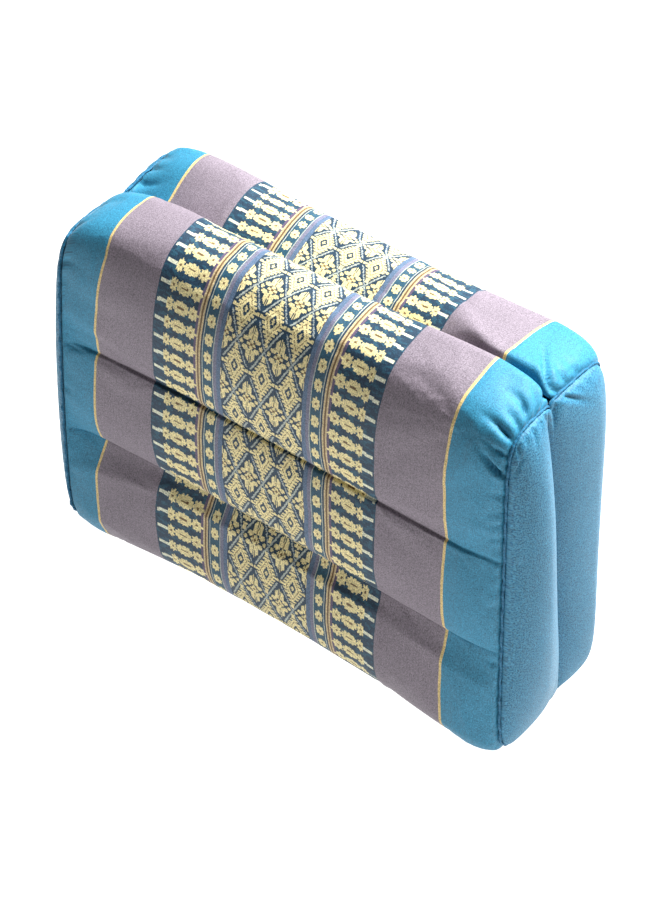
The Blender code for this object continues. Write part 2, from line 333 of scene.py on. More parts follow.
def uneven(points):
    """The points with each end of the block moved out of true, most at the end itself."""
    moved = points.copy()
    for side, corners, bow in ((-1, LEFT_CORNERS, LEFT_BOW), (1, RIGHT_CORNERS, RIGHT_BOW)):
        near = np.clip(1 - (0.5 * SEAM_LENGTH - side * points[..., 0]) / UNEVEN_REACH, 0, 1) ** 2 / 1000
        back = np.clip(points[..., 1] / UNEVEN_DEPTH + 0.5, -RUN_ON, 1 + RUN_ON)
        high = np.clip(points[..., 2] / UNEVEN_HEIGHT, -RUN_ON, 1 + RUN_ON)
        shares = ((1 - back) * (1 - high), (1 - back) * high, back * (1 - high), back * high)
        for share, corner in zip(shares, corners):
            moved += (near * share)[..., None] * np.array(corner)
        belt = near * 4 * high * (1 - high)
        moved[..., 1] += belt * ((1 - back) * bow.front + back * bow.back)
        moved[..., 0] += belt * bow.middle
        moved[..., 2] += near * high * 4 * back * (1 - back) * bow.top
    return moved


def over_lean(x):
    """How far back and up the ridge goes near the right end, where the front channel leans over the back
    one. At the end itself it is pulled the other way."""
    rise = smooth((x - LEAN_FROM) / (LEAN_FULL - LEAN_FROM))
    inside = dome((0.5 * SEAM_LENGTH - x) / POCKET_REACH)
    return rise * (RIDGE_LEAN * inside + NOTCH_ASIDE * (1 - inside)), rise * RIDGE_HUMP * inside


def stations():
    """Places along the length, closer together towards the ends."""
    half = 0.5 * SEAM_LENGTH
    shares = np.linspace(-1, 1, LENGTH_STEPS + 1)
    return half * ((1 - END_CROWDING) * shares + END_CROWDING * np.sin(0.5 * math.pi * shares))


def wrap_points():
    """The wrap's surface: array of stations by ring places by x, y, z."""
    return np.array([section(x) for x in stations()])


def finer_along(grid):
    """The grid with a row midway between each two rows, on a cubic through the four nearest."""
    padded = np.concatenate([2 * grid[:1] - grid[1:2], grid, 2 * grid[-1:] - grid[-2:-1]])
    between = (9 * (padded[1:-2] + padded[2:-1]) - padded[:-3] - padded[3:]) / 16
    finer = np.empty((2 * len(grid) - 1, *grid.shape[1:]))
    finer[::2] = grid
    finer[1::2] = between
    return finer


def finer_around(grid):
    """The grid with a ring place midway between each two, on a cubic through the four nearest."""
    after = np.roll(grid, -1, axis=1)
    outer = np.roll(grid, 1, axis=1) + np.roll(grid, -2, axis=1)
    finer = np.repeat(grid, 2, axis=1)
    finer[:, 1::2] = (9 * (grid + after) - outer) / 16
    return finer


def gather_ends(points):
    """The wrap's points, at twice the steps each way, with the gathers at both ends."""
    around = np.roll(points, -1, axis=1) - np.roll(points, 1, axis=1)
    normals = np.cross(np.gradient(points, axis=0), around)
    normals /= np.maximum(np.linalg.norm(normals, axis=2, keepdims=True), TINY)
    depth = np.zeros(points.shape[:2])
    along = finer_along(stations())
    for side in (-1, 1):
        from_end = 1000 * (0.5 * SEAM_LENGTH - side * along)
        place = halved(ring_places(side))
        place[-1] = place[-2] + (place[-2] - place[-3])
        depth += gathered(side, from_end[:, None], place[None, :])
    points = points - normals * depth[:, :, None] / 1000
    points[:, :, 2] = np.maximum(points[:, :, 2], 0.0)
    return points


# Where the wrap is gathered into an end's seam, in millimetres. A gather starts at a place along the
# seam, counted from the ridge towards the back, and runs in along the block, wandering on the way.
Gather = namedtuple("Gather", "at width depth reach wander")
RIGHT_GATHERS = (
    Gather(4, 4.0, 15.0, 22, -3),
    Gather(12, 2.4, 12.0, 28, 22),
    Gather(22, 1.7, 3.5, 17, 8),
    Gather(33, 2.0, 2.2, 14, 0),
    Gather(-9, 1.6, 7.5, 28, 3),
    Gather(-15, 1.4, 4.5, 14, 0),
    Gather(-22, 1.6, 7.0, 22, -1),
    Gather(-29, 1.5, 4.5, 14, 0),
    Gather(-36, 1.8, 7.5, 26, 2),
    Gather(-45, 1.7, 4.5, 15, 2),
    Gather(-59, 2.0, 14.0, 17, 11),
    Gather(-75, 2.2, 2.6, 12, 3),
    Gather(-88, 1.9, 2.4, 12, -2),
    Gather(-97, 1.9, 2.6, 13, -3),
    Gather(-108, 2.0, 2.0, 11, -1),
    Gather(-128, 2.2, 2.2, 14, 2),
    Gather(-163, 2.6, 2.0, 12, -3),
    Gather(-214, 2.4, 2.0, 12, 2),
    Gather(60, 2.6, 2.4, 18, -2),
    Gather(92, 2.8, 2.0, 15, 3),
    Gather(140, 3.0, 1.8, 14, -2),
    Gather(196, 2.8, 2.0, 13, 2),
)
LEFT_GATHERS = (
    Gather(4, 4.0, 4.5, 20, 6),
    Gather(16, 2.4, 3.4, 26, 8),
    Gather(28, 2.2, 3.8, 18, 3),
    Gather(40, 2.6, 3.0, 15, -2),
    Gather(-14, 2.4, 2.4, 22, -3),
    Gather(-30, 2.8, 2.4, 26, 2),
    Gather(-48, 2.4, 2.2, 16, 4),
    Gather(-70, 2.6, 2.3, 18, -2),
    Gather(-98, 2.8, 1.6, 13, 3),
    Gather(-131, 2.4, 2.2, 18, -3),
    Gather(-168, 2.8, 1.8, 13, 2),
    Gather(-206, 2.6, 2.0, 16, -3),
    Gather(-246, 2.4, 1.8, 14, 3),
    Gather(66, 2.8, 2.4, 17, 2),
    Gather(104, 2.6, 1.8, 14, -3),
    Gather(152, 2.8, 2.1, 15, 2),
    Gather(204, 2.6, 1.8, 13, -2),
)

# The section of a gather: how steep it is, and the low rim on both sides of it. Along it, the share of
# its reach where it gets deep, and how it fades.
FOLD_POWER = 1.4
RIM_HEIGHT = 0.35
RIM_WIDTH = 2.3
GATHER_START = 0.22
GATHER_FADE = 1.3

# Fine puckers all along the seam, in millimetres: depth, spacings and reach
PUCKER_DEPTH = 0.22
PUCKER_SHORT = 1.7
PUCKER_LONG = 2.63
PUCKER_REACH = 9

# A panel has the same gathers as the wrap, at a share of their depth and with a shorter reach
PANEL_GATHERS = 0.4
PANEL_GATHERS_SHORTER = 1.6


def ring_places(side):
    """Distance of each ring place from the ridge along an end's seam, in millimetres."""
    ring = section(0.5 * side * SEAM_LENGTH)
    closed = np.vstack([ring, ring[:1]])
    arc = path_lengths(closed)
    return 1000 * (arc[:-1] - arc[RIDGE_AT])


def gathered(side, from_end, place):
    """Depth of the gathers at a distance from an end and a place along its seam."""
    puckers = np.sin(place / PUCKER_SHORT + side) + np.sin(place / PUCKER_LONG + 2)
    depth = PUCKER_DEPTH * puckers * hollow(from_end / PUCKER_REACH)
    for gather in RIGHT_GATHERS if side > 0 else LEFT_GATHERS:
        along = from_end / gather.reach
        across = (place - gather.at - gather.wander * np.clip(along, 0, 1)) / gather.width
        fold = np.exp(-(np.abs(across) ** FOLD_POWER)) - RIM_HEIGHT * np.exp(-((across / RIM_WIDTH) ** 2))
        depth = depth + gather.depth * fold * hollow(along)
    return depth


def hollow(along):
    """Depth along a gather: from 0 at the seam quickly to its full depth, and gently out again."""
    start = 1 - (1 - np.clip(along / GATHER_START, 0, 1)) ** 2
    return start * np.clip(1 - along, 0, 1) ** GATHER_FADE


# The cloth round the block, in millimetres: for each channel, places along the middle section from the
# channel's first seam, and the cloth there. Each seam hides a little cloth, and the cloth is drawn
# together over the top.
Channel = namedtuple("Channel", "first last at cloth")
CHANNELS = (
    Channel(0, LOWER_SEAM_AT, (0, 156.6), (-179.5, -29.5)),
    Channel(LOWER_SEAM_AT, UPPER_SEAM_AT, (0, 83.7), (-12.0, 69.5)),
    Channel(
        UPPER_SEAM_AT,
        RIDGE_AT,
        (0, 52.7, 90.5, 101.8, 111.8, 121.0, 128.5, 157.0),
        (81.9, 136.3, 176.3, 189.6, 202.9, 216.3, 229.0, 275.0),
    ),
    Channel(
        RIDGE_AT,
        RING - UPPER_SEAM_AT,
        (0, 13.2, 21.9, 30.3, 37.7, 44.0, 56.0, 145.1),
        (289.6, 309.6, 323.0, 336.3, 349.6, 363.0, 378.0, 470.0),
    ),
    Channel(RING - UPPER_SEAM_AT, RING - LOWER_SEAM_AT, (0, 83.7), (485.3, 567.2)),
    Channel(RING - LOWER_SEAM_AT, RING, (0, 156.6), (582.5, 732.5)),
)

# Place along the block (mm) against the same place in the cloth, from the middle of the pattern
ALONG_BLOCK = (-165.5, -138.4, -94.5, -55.7, -7.0, 41.6, 78.3, 129.8, 165.5)
ALONG_CLOTH = (-161.0, -133.2, -86.4, -48.7, 0.0, 48.7, 86.4, 133.2, 169.5)

# How far the cloth has slipped along the block, at ring places from the bottom seam on: at the yellow
# line, the pattern's edge and the gold stripe on the left, and at the same three on the right
Slip = namedtuple("Slip", "place yellow_left edge_left gold_left gold_right edge_right yellow_right")
SLIPS = (
    Slip(0, -3.0, -1.0, 0.0, 3.0, 3.0, 0.0),
    Slip(LOWER_SEAM_AT - 0.4 * ROW_STEPS, -5.5, -2.0, 0.0, 3.5, 3.0, 0.0),
    Slip(LOWER_SEAM_AT, -2.5, -1.0, 0.0, 1.5, 1.5, 0.0),
    Slip(LOWER_SEAM_AT + 0.5 * ROW_STEPS, -2.0, -0.5, 0.0, 3.5, 3.0, 0.0),
    Slip(UPPER_SEAM_AT, -1.0, 0.5, 0.0, 1.0, 1.0, 0.0),
    Slip(UPPER_SEAM_AT + 0.3 * ROW_STEPS, 0.0, 3.0, 0.5, 1.0, 1.0, 0.0),
    Slip(UPPER_SEAM_AT + 0.5 * ROW_STEPS, 3.0, 5.0, 1.0, 1.0, 1.0, 0.0),
    Slip(UPPER_SEAM_AT + 0.85 * ROW_STEPS, 9.0, 6.5, 1.0, 0.0, 1.0, 0.0),
    Slip(UPPER_SEAM_AT + ROW_STEPS + 0.4 * TOP_STEPS, 6.0, 5.0, 0.0, 0.0, 0.0, 0.0),
    Slip(RIDGE_AT, 5.0, 3.0, 2.5, 0.5, 0.0, 0.0),
    Slip(RIDGE_AT + 0.2 * TOP_STEPS, 4.0, 6.0, 5.0, 1.0, 0.0, 0.0),
    Slip(RIDGE_AT + TOP_STEPS, 2.0, 4.0, 4.0, 1.0, 0.0, 0.0),
    Slip(RING, 0.0, 0.0, 0.0, 0.0, 0.0, 0.0),
)
SLIP_AT = (-138.4, -94.5, -55.7, 41.6, 78.3, 129.8)


def cloth_u(along, place):
    """The cloth coordinate along the block at stations and ring places."""
    x = np.repeat(along[:, None] * 1000, len(place), axis=1)
    table = np.array(SLIPS)
    slips = [np.interp(place, table[:, 0], table[:, column]) for column in range(1, 1 + len(SLIP_AT))]
    slip = [np.interp(1000 * along, SLIP_AT, at_place) for at_place in np.transpose(slips)]
    return np.interp(x - np.transpose(slip), ALONG_BLOCK, ALONG_CLOTH)


def channel_v(middle):
    """For each channel, the cloth coordinate of its ring places, first to last, by the middle section,
    which has twice the steps."""
    closed = np.vstack([middle, middle[:1]])
    arc = path_lengths(closed)
    found = []
    for channel in CHANNELS:
        part = arc[2 * channel.first : 2 * channel.last + 1] - arc[2 * channel.first]
        found.append(np.interp(part * channel.at[-1] / part[-1], channel.at, channel.cloth))
    return found


def ring_faces(rows, ring, first, last):
    """Quads of the ring places from first to last, over all rows."""
    i, k = np.meshgrid(np.arange(rows - 1), np.arange(first, last), indexing="ij")
    after = (k + 1) % ring
    quads = np.stack([i * ring + k, i * ring + after, (i + 1) * ring + after, (i + 1) * ring + k], axis=-1)
    return quads.reshape(-1, 4)


def new_mesh(name, points, faces):
    """A mesh object of those points and faces, linked to the scene."""
    mesh = bpy.data.meshes.new(name)
    mesh.from_pydata(np.reshape(points, (-1, 3)).tolist(), [], np.array(faces).tolist())
    made = bpy.data.objects.new(name, mesh)
    bpy.context.scene.collection.objects.link(made)
    return made


def make_wrap(cloth):
    """The wrap as one mesh of quads with its cloth coordinates as a UV map."""
    points = wrap_points()
    points = settled(points)
    points = gather_ends(finer_around(finer_along(points)))
    rows, ring = points.shape[:2]
    u = cloth_u(finer_along(stations()), np.arange(ring) / 2)
    faces = []
    corners = []
    for channel, v in zip(CHANNELS, channel_v(points[rows // 2])):
        first, last = channel.first, channel.last
        faces.append(ring_faces(rows, ring, 2 * first, 2 * last))
        low = np.broadcast_to(v[None, :-1], (rows - 1, len(v) - 1))
        high = np.broadcast_to(v[None, 1:], (rows - 1, len(v) - 1))
        near = u[:, np.arange(2 * first, 2 * last)]
        far = u[:, np.arange(2 * first + 1, 2 * last + 1) % ring]
        places = [(near[:-1], low), (far[:-1], high), (far[1:], high), (near[1:], low)]
        corners.append(np.stack([np.stack(place, axis=-1) for place in places], axis=2).reshape(-1, 2))
    return clothed(new_mesh("wrap", points, np.concatenate(faces)), np.concatenate(corners), cloth)


# The cloth simulation: frames, pressure and extra cloth, the height below which the wrap rests on the
# floor and stays, and how much of the detail is kept once the broad movement is taken off
SETTLE_FRAMES = 18
SETTLE_PRESSURE = 3.0
SPARE_CLOTH = -0.012
RESTING = 0.0006
SMOOTH_ROUNDS = 24
DETAIL_KEPT = 0.30
MOST_DETAIL = 0.0009


def settled(points):
    """Lets pressure fill the wrap between its sewn lines, and keeps the small wrinkles that this makes."""
    rows = len(points)
    before = points.reshape(-1, 3)
    made = new_mesh("settling", points, ring_faces(rows, RING, 0, RING))
    sewn = made.vertex_groups.new(name="sewn")
    places = np.arange(len(before))
    held = np.isin(places % RING, SEAM_PLACES) | (places < RING) | (places >= (rows - 1) * RING)
    held |= before[:, 2] < RESTING
    sewn.add(places[held].tolist(), 1.0, "REPLACE")
    cloth = made.modifiers.new("settle", "CLOTH")
    settings = cloth.settings
    settings.quality = 5
    settings.mass = 0.2
    settings.tension_stiffness = 20
    settings.compression_stiffness = 20
    settings.shear_stiffness = 8
    settings.bending_stiffness = 0.3
    settings.vertex_group_mass = "sewn"
    settings.pin_stiffness = 1.0
    settings.shrink_min = SPARE_CLOTH
    settings.use_pressure = True
    settings.uniform_pressure_force = SETTLE_PRESSURE
    settings.effector_weights.gravity = 0.0
    cloth.collision_settings.use_collision = False
    cloth.point_cache.frame_start = 1
    cloth.point_cache.frame_end = SETTLE_FRAMES
    for step in range(1, SETTLE_FRAMES + 1):
        bpy.context.scene.frame_set(step)
    graph = bpy.context.evaluated_depsgraph_get()
    after = points_of(made.evaluated_get(graph).data)
    bpy.context.scene.frame_set(1)
    bpy.data.objects.remove(made)
    moved = (after - before).reshape(rows, RING, 3)
    broad = moved.copy()
    for _ in range(SMOOTH_ROUNDS):
        around = np.roll(broad, 1, axis=1) + np.roll(broad, -1, axis=1)
        along = np.concatenate([broad[:1], broad[:-1]]) + np.concatenate([broad[1:], broad[-1:]])
        broad = 0.2 * (broad + around + along)
    detail = (moved - broad) * DETAIL_KEPT
    size = np.linalg.norm(detail, axis=2, keepdims=True)
    detail *= np.minimum(1, MOST_DETAIL / np.maximum(size, TINY))
    detail = detail.reshape(-1, 3)
    detail[held] = 0
    return (before + detail).reshape(points.shape)


def points_of(mesh):
    """The mesh's points as an array."""
    found = np.empty(len(mesh.vertices) * 3)
    mesh.vertices.foreach_get("co", found)
    return found.reshape(-1, 3)


def end_grid(side):
    """Grid of points over an end, across in columns and up in rows, its border on the section ring."""
    ring = halved(section(0.5 * side * SEAM_LENGTH))
    place = halved(ring_places(side))
    corner = 2 * TOP_STEPS
    columns = 2 * corner
    rows = 6 * ROW_STEPS
    at_front = np.arange(corner, corner + rows + 1)
    at_top = at_front[-1] + np.arange(columns + 1)
    at_back = at_top[-1] + rows - np.arange(rows + 1)
    at_bottom = (corner - np.arange(columns + 1)) % len(ring)
    front, top, back, bottom = ring[at_front], ring[at_top], ring[at_back], ring[at_bottom]
    u = ((top[:, 1] - top[0, 1]) / (top[-1, 1] - top[0, 1]))[:, None, None]
    v = ((front[:, 2] - front[0, 2]) / (front[-1, 2] - front[0, 2]))[None, :, None]
    grid = front[None] * (1 - u) + back[None] * u + bottom[:, None] * (1 - v) + top[:, None] * v
    grid -= (front[0] * (1 - u) + back[0] * u) * (1 - v) + (front[-1] * (1 - u) + back[-1] * u) * v
    height = PANEL_BULGE * bulges(u, v, RIGHT_CREASE if side > 0 else LEFT_CREASE)[:, :, 0]
    borders = (
        (front[None], at_front[None]),
        (back[None], at_back[None]),
        (top[:, None], at_top[:, None]),
    )
    for border, at in borders:
        from_seam = 1000 * np.linalg.norm(grid - border, axis=2)
        height -= PANEL_GATHERS / 1000 * gathered(side, PANEL_GATHERS_SHORTER * from_seam, place[at])
    grid[:, :, 0] += side * np.maximum(height, 0)
    return grid


def halved(ring):
    """Values round a ring with one more midway between each two."""
    finer = np.repeat(ring, 2, axis=0)
    finer[1::2] = 0.5 * (ring + np.roll(ring, -1, axis=0))
    return finer


def bulges(u, v, crease):
    """Height of the two upright bulges of an end, from 0 at its border and in the middle crease to 1."""
    middle = 0.5 + crease.top * v + crease.foot * (1 - v) ** CREASE_BEND
    share = np.where(u < middle, u / middle, (1 - u) / (1 - middle))
    crown = np.where(u < middle, FRONT_CROWN, BACK_CROWN)
    rise = (1 - (1 - np.clip(share / crown, 0, 1)) ** LOBE_POWER) ** (1 / LOBE_POWER)
    fall = (1 - np.clip((share - crown) / (1 - crown), 0, 1) ** CREASE_POWER) ** (1 / CREASE_POWER)
    up = np.clip(np.abs(2 * v - 1), 0, 1)
    front = (1 - up**BULGE_SQUARENESS) ** BULGE_SHOULDER
    back = BACK_BULGE * (1 - up**BACK_SQUARENESS) ** BULGE_SHOULDER
    return rise * fall * np.where(u < middle, front, back)


def make_panel(name, side, cloth):
    """End panel as a thin closed cloth."""
    grid = end_grid(side)
    columns, rows = grid.shape[:2]
    points = []
    for height in (GAP, GAP + PANEL_THICKNESS):
        points.append((grid + (side * height, 0, 0)).reshape(-1, 3))
    points = np.concatenate(points)
    count = columns * rows
    faces = []
    corners = []

    def cloth_place(index):
        i, j = divmod(index % count, rows)
        return grid[i, j, 1] * 1000, grid[i, j, 2] * 1000

    def add(face):
        faces.append(face)
        corners.extend(cloth_place(index) for index in face)

    for shift in (0, count):
        for i in range(columns - 1):
            for j in range(rows - 1):
                a = shift + i * rows + j
                add((a, a + rows, a + rows + 1, a + 1))
    border = [i * rows for i in range(columns)]
    border += [(columns - 1) * rows + j for j in range(1, rows)]
    border += [i * rows + rows - 1 for i in range(columns - 2, -1, -1)]
    border += list(range(rows - 2, 0, -1))
    for a, b in zip(border, border[1:] + border[:1]):
        add((a, b, b + count, a + count))
    return clothed(new_mesh(name, points, faces), corners, cloth)


def clothed(made, corners, cloth):
    """The closed mesh with its cloth coordinates and material, its faces turned outward and smooth."""
    mesh = made.data
    layer = mesh.uv_layers.new(name="cloth")
    layer.data.foreach_set("uv", np.array(corners, dtype=np.float32).ravel())
    mesh.materials.append(cloth)
    mesh_data = bmesh.new()
    mesh_data.from_mesh(mesh)
    edges = [edge for edge in mesh_data.edges if edge.is_boundary]
    if edges:
        bmesh.ops.holes_fill(mesh_data, edges=edges, sides=0)
    bmesh.ops.recalc_face_normals(mesh_data, faces=mesh_data.faces)
    mesh_data.to_mesh(mesh)
    mesh_data.free()
    mesh.shade_smooth()
    return made


# The raised edge seam: half width of its roll, how far out it sits, and the length of a stitch
ROLL = 0.0008
ROLL_OUT = 0.0008
ROLL_PROUD = 0.0013
ROLL_SIDES = 10
ROLL_STEPS = 1600
STITCH = 0.0027
PATH_ROUNDS = 12

# The roll is ROLL_LEAST of its width at a stitch and swells by ROLL_BEAD between two. Waves round the
# end make it uneven: how many, how high, and where they start, which may differ by side.
ROLL_LEAST = 0.85
ROLL_BEAD = 0.25
Wave = namedtuple("Wave", "turns height start by_side")
ROLL_SWELLS = (Wave(61, 0.12, 1.3, 0.0), Wave(97, 0.10, 0.4, 1.0))
ROLL_SWAYS = (Wave(37, 0.00035, 0.0, 2.1), Wave(83, 0.00022, 0.0, 0.0))


def ring_path(side, steps):
    """Evenly spaced points round an end's border, with the outward direction at each."""
    ring = section(0.5 * side * SEAM_LENGTH)
    closed = np.vstack([ring, ring[:1]])
    arc = path_lengths(closed)
    wanted = np.linspace(0, arc[-1], steps, endpoint=False)
    points = np.stack([np.interp(wanted, arc, closed[:, axis]) for axis in range(3)], axis=1)
    for _ in range(PATH_ROUNDS):
        points = 0.25 * np.roll(points, 1, axis=0) + 0.5 * points + 0.25 * np.roll(points, -1, axis=0)
    forward = np.roll(points, -1, axis=0) - np.roll(points, 1, axis=0)
    outward = np.stack([np.zeros(steps), -forward[:, 2], forward[:, 1]], axis=1)
    outward /= np.linalg.norm(outward, axis=1)[:, None]
    return points, outward, arc[-1]


def waves(table, along, side):
    """Sum of the table's waves at angles round an end."""
    starts = [wave.start + wave.by_side * side for wave in table]
    return sum(wave.height * np.sin(wave.turns * along + start) for wave, start in zip(table, starts))


def make_edge_seam(name, side, cloth):
    """Raised seam all round an end: a narrow roll, drawn in at each stitch and slightly uneven."""
    points, outward, length = ring_path(side, ROLL_STEPS)
    along = np.arange(ROLL_STEPS) / ROLL_STEPS * 2 * math.pi
    stitches = round(length / STITCH)
    swell = ROLL_LEAST + ROLL_BEAD * np.abs(np.sin(0.5 * stitches * along))
    swell += waves(ROLL_SWELLS, along, side)
    sway = waves(ROLL_SWAYS, along, side)
    axis = np.array((side, 0, 0))
    centre = points + outward * (ROLL_OUT + sway)[:, None] + axis * ROLL_PROUD
    made_points = []
    for corner in range(ROLL_SIDES):
        angle = 2 * math.pi * corner / ROLL_SIDES
        spoke = outward * math.cos(angle) + axis * math.sin(angle)
        made_points.append(centre + spoke * (ROLL * swell)[:, None])
    made_points = np.stack(made_points, axis=1)
    faces = []
    corners = []
    step = length * 1000 / ROLL_STEPS
    for i in range(ROLL_STEPS):
        for j in range(ROLL_SIDES):
            here = i * ROLL_SIDES
            ahead = (i + 1) % ROLL_STEPS * ROLL_SIDES
            beside = (j + 1) % ROLL_SIDES
            faces.append((here + j, ahead + j, ahead + beside, here + beside))
            corners += [(j, i * step), (j, (i + 1) * step), (j + 1, (i + 1) * step), (j + 1, i * step)]
    return clothed(new_mesh(name, made_points, faces), corners, cloth)


def linear(red, green, blue):
    """Shader colour of a colour given from 0 to 255 as a screen shows it."""
    found = []
    for value in (red, green, blue):
        value /= 255
        found.append(value / 12.92 if value <= 0.04045 else ((value + 0.055) / 1.055) ** 2.4)
    return (*found, 1.0)


class Number:
    """A number that a material works out at each point. The usual signs add its nodes. A comparison
    gives 1 or 0, & means both, and | means either."""

    def __init__(self, tree, socket):
        self.tree = tree
        self.socket = socket

    def math(self, operation, *others):
        node = self.tree.nodes.new("ShaderNodeMath")
        node.operation = operation
        for place, value in zip(node.inputs, (self, *others)):
            if isinstance(value, Number):
                self.tree.links.new(value.socket, place)
            else:
                place.default_value = value
        return Number(self.tree, node.outputs[0])

    def __add__(self, other):
        return self.math("ADD", other)

    def __sub__(self, other):
        return self.math("SUBTRACT", other)

    def __mul__(self, other):
        return self.math("MULTIPLY", other)

    def __truediv__(self, other):
        return self.math("DIVIDE", other)

    def __abs__(self):
        return self.math("ABSOLUTE")

    def __lt__(self, other):
        return self.math("LESS_THAN", other)

    def __gt__(self, other):
        return self.math("GREATER_THAN", other)

    def __and__(self, other):
        return self.math("MULTIPLY", other)

    def __or__(self, other):
        return self.math("MAXIMUM", other)

    def opposite(self):
        return self.math("MULTIPLY_ADD", -1.0, 1.0)

    def wrapped(self, period):
        """The distance to the nearest multiple of period, with its sign."""
        return self.math("WRAP", 0.5 * period, -0.5 * period)

    def stepped(self, size):
        """Moved to the middle of its thread, for threads of that size."""
        return self.math("DIVIDE", size).math("FLOOR").math("MULTIPLY_ADD", size, 0.5 * size)

    def sine(self, period):
        return self.math("MULTIPLY", 2 * math.pi / period).math("SINE")

    def between(self, low, high):
        return (self > low) & (self < high)


def new_cloth(name):
    """A material with its shader and the cloth coordinates u and v."""
    cloth = bpy.data.materials.new(name)
    cloth.use_nodes = True
    tree = cloth.node_tree
    place = tree.nodes.new("ShaderNodeUVMap")
    place.uv_map = "cloth"
    parts = tree.nodes.new("ShaderNodeSeparateXYZ")
    tree.links.new(place.outputs["UV"], parts.inputs[0])
    u = Number(tree, parts.outputs[0])
    v = Number(tree, parts.outputs[1])
    return cloth, tree.nodes["Principled BSDF"], u, v


# Noise in the cloth: sizes in millimetres, seed, detail, strength, and the value that stands for 0
Speckle = namedtuple("Speckle", "u_size v_size seed detail strength level")
U_SWAY = Speckle(26.0, 26.0, 3.0, 2.0, 1.1, 0.5)
V_SWAY = Speckle(26.0, 26.0, 9.0, 2.0, 1.1, 0.5)
DARK_GROUND = Speckle(5.0, 3.0, 11.0, 2.0, 1.0, 0.47)
DEEP_YARNS = Speckle(0.7, 1.1, 15.0, 1.0, 1.0, 0.55)
FUZZ = Speckle(0.5, 2.5, 21.0, 2.0, 1.0, 0.0)
ROUGH = Speckle(8.0, 20.0, 31.0, 2.0, 0.16, 0.0)
GRAIN = Speckle(0.75, 1.05, 5.0, 1.0, 1.8, 0.5)
SLUB = Speckle(2.2, 3.0, 17.0, 1.0, 0.55, 0.5)
STREAK = Speckle(0.7, 24.0, 7.0, 2.0, 0.35, 0.5)
WEAR = Speckle(34.0, 45.0, 13.0, 2.0, 0.24, 0.5)

# The weave: spacing of the threads both ways, and depth of its relief, in millimetres
Weave = namedtuple("Weave", "thread pick depth")
WRAP_WEAVE = Weave(0.62, 0.7, 0.12)
PLAIN_WEAVE = Weave(0.5, 0.55, 0.10)
WEAVE_HEIGHT = 0.6
BUMP_STRENGTH = 0.5
LEAST_ROUGHNESS = 0.50
SHEEN = 0.10
SHEEN_ROUGHNESS = 0.35
SHINE = 0.32


def speckled(u, v, speckle):
    """Noise about 0, of the speckle's sizes and strength."""
    tree = u.tree
    place = tree.nodes.new("ShaderNodeCombineXYZ")
    tree.links.new((u * (1 / speckle.u_size)).socket, place.inputs[0])
    tree.links.new((v * (1 / speckle.v_size)).socket, place.inputs[1])
    place.inputs[2].default_value = speckle.seed
    node = tree.nodes.new("ShaderNodeTexNoise")
    node.inputs["Scale"].default_value = 1.0
    node.inputs["Detail"].default_value = speckle.detail
    tree.links.new(place.outputs[0], node.inputs["Vector"])
    return (Number(tree, node.outputs[0]) - speckle.level) * speckle.strength


# The Mix node's sockets for two colours and their mix
FIRST_COLOUR = 6
SECOND_COLOUR = 7
MIXED_COLOUR = 2


class Paint:
    """A colour built up in layers, each laid over the last where its mask is 1."""

    def __init__(self, tree, ground):
        self.tree = tree
        self.colour = ground
        self.socket = None

    def over(self, colour, mask):
        node = self.tree.nodes.new("ShaderNodeMix")
        node.data_type = "RGBA"
        self.tree.links.new(mask.socket, node.inputs[0])
        if self.socket is None:
            node.inputs[FIRST_COLOUR].default_value = self.colour
        else:
            self.tree.links.new(self.socket, node.inputs[FIRST_COLOUR])
        if isinstance(colour, Paint):
            self.tree.links.new(colour.socket, node.inputs[SECOND_COLOUR])
        else:
            node.inputs[SECOND_COLOUR].default_value = colour
        self.socket = node.outputs[MIXED_COLOUR]
        return self

    def shaded(self, factor):
        """The colour made lighter or darker by a factor worked out at each point."""
        node = self.tree.nodes.new("ShaderNodeVectorMath")
        node.operation = "SCALE"
        self.tree.links.new(self.socket, node.inputs[0])
        self.tree.links.new(factor.socket, node.inputs["Scale"])
        self.socket = node.outputs[0]
        return self


# Colours of the threads. The seam's blue and the ends' blue also hold painted light, as noted at each.
MAUVE = linear(131, 121, 131)
BLUE = linear(52, 131, 163)
# The end panels' own blue, with a greyer cast that is painted sheen: it stands in for a whitish sheen on
# the panels
END_BLUE_WITH_SHEEN = linear(62, 130, 160)
# The seam's blue, made darker than the panels' with painted shade: the darkening stands in for the shadow
# along the stitched seam
SHADED_SEAM_BLUE = linear(26, 108, 144)
DEEP_BLUE = linear(34, 102, 138)
CREAM = linear(232, 218, 162)
IVORY = linear(222, 224, 200)
YELLOW = linear(216, 190, 128)
NAVY = linear(38, 62, 82)
TEAL = linear(45, 84, 104)
STEEL = linear(88, 110, 136)
PALE = linear(176, 184, 176)
TAN = linear(204, 184, 142)
BROWN = linear(118, 94, 64)
PLUM = linear(96, 84, 108)
LILAC = linear(118, 118, 138)

# Places in the pattern, in millimetres from its middle
LATTICE_EDGE = 30.7
BLUE_EDGE = 34.0
INNER_BAND = 36.3
INNER_LINE = 37.3
FLOWER_BAND = 44.5
OUTER_LINE = 45.5
GOLD_START = 46.5
GOLD_END = 50.0
ROWS_START = 51.0
PATTERN_EDGE = 86.4
YELLOW_LINE = 133.2
YELLOW_HALF = 0.85
SHADOW_HALF = 1.35
BLUE_START = YELLOW_LINE + 0.9
PLUM_END = ROWS_START + 0.8
GOLD_THREAD = (48.0, 48.7)

# The lattice: half width and half height of a cell, and where its first row lies
CELL_WIDTH = 10.25
CELL_HEIGHT = 20.0
CELL_PHASE = 16.3
ROW_PITCH = 2 * CELL_HEIGHT / 3
THREAD = 0.62
PICK = 0.85

# Rings of a cell, as shares of the way from its middle to its outline
CORE = 0.12
RING_BAND = (0.27, 0.63)
RING_THREAD = (0.455, 0.50)
COMB_BAND = (0.60, 0.82)
OUTLINE_HALF = 0.062

